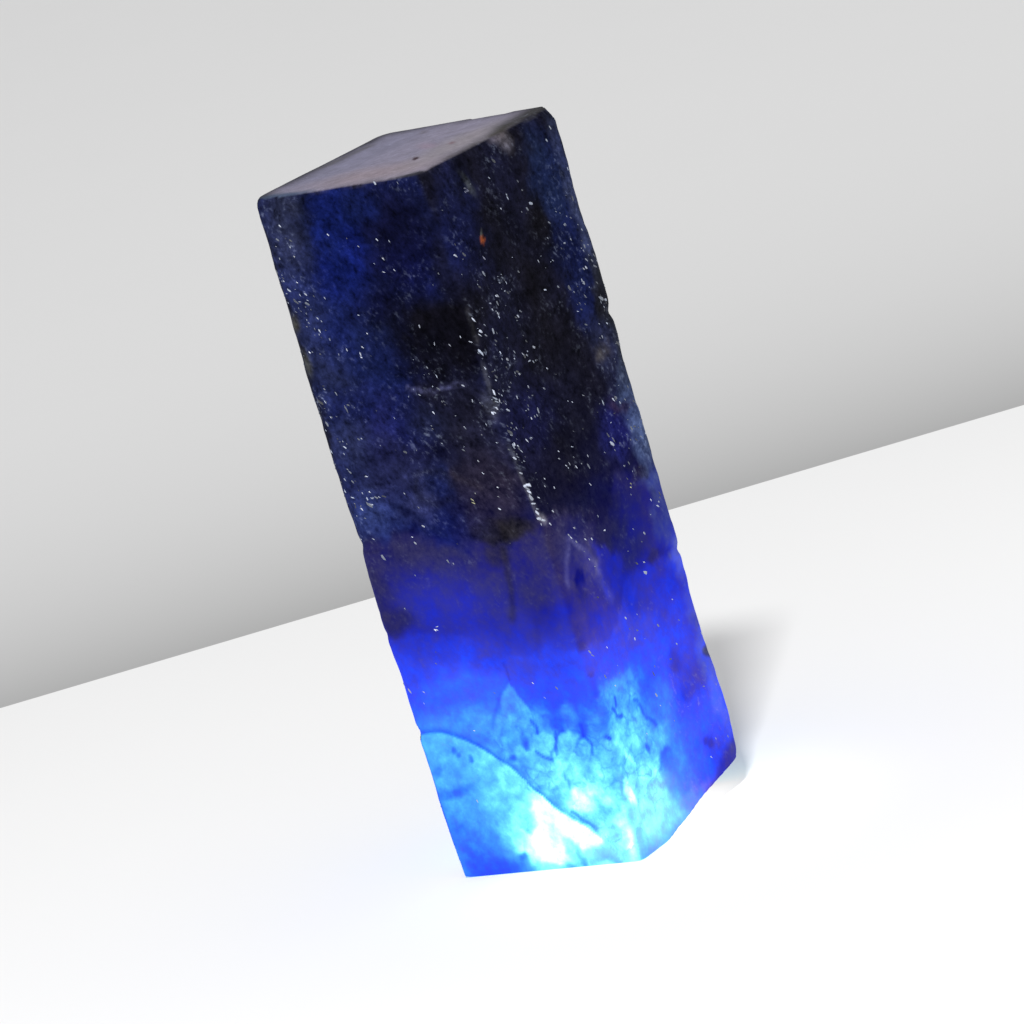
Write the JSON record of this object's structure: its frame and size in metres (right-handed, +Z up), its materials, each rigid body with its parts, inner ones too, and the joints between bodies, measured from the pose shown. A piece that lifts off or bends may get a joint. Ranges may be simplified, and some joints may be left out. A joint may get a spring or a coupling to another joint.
{
  "type": "rough sapphire chunk",
  "caption": "Upright four-sided chunk of rough blue sapphire: sawn flat top, worn edges, a broken base corner and shell-shaped scars. Stands on its flat base.",
  "frame": {"origin": "centre of the bounding box's underside, on the surface the stone stands on", "axes": "+Z up along the stone's length; the left face in the picture looks along -Y and the right face along +X"},
  "size_m": [0.0164, 0.0168, 0.05],
  "materials": {
    "sapphire": "deep blue translucent corundum, silky to matt where sawn or broken, with cloudy veils and small white inclusions"
  },
  "bodies": {
    "root": {"sapphire_crystal": "sapphire"}
  },
  "joints": []
}
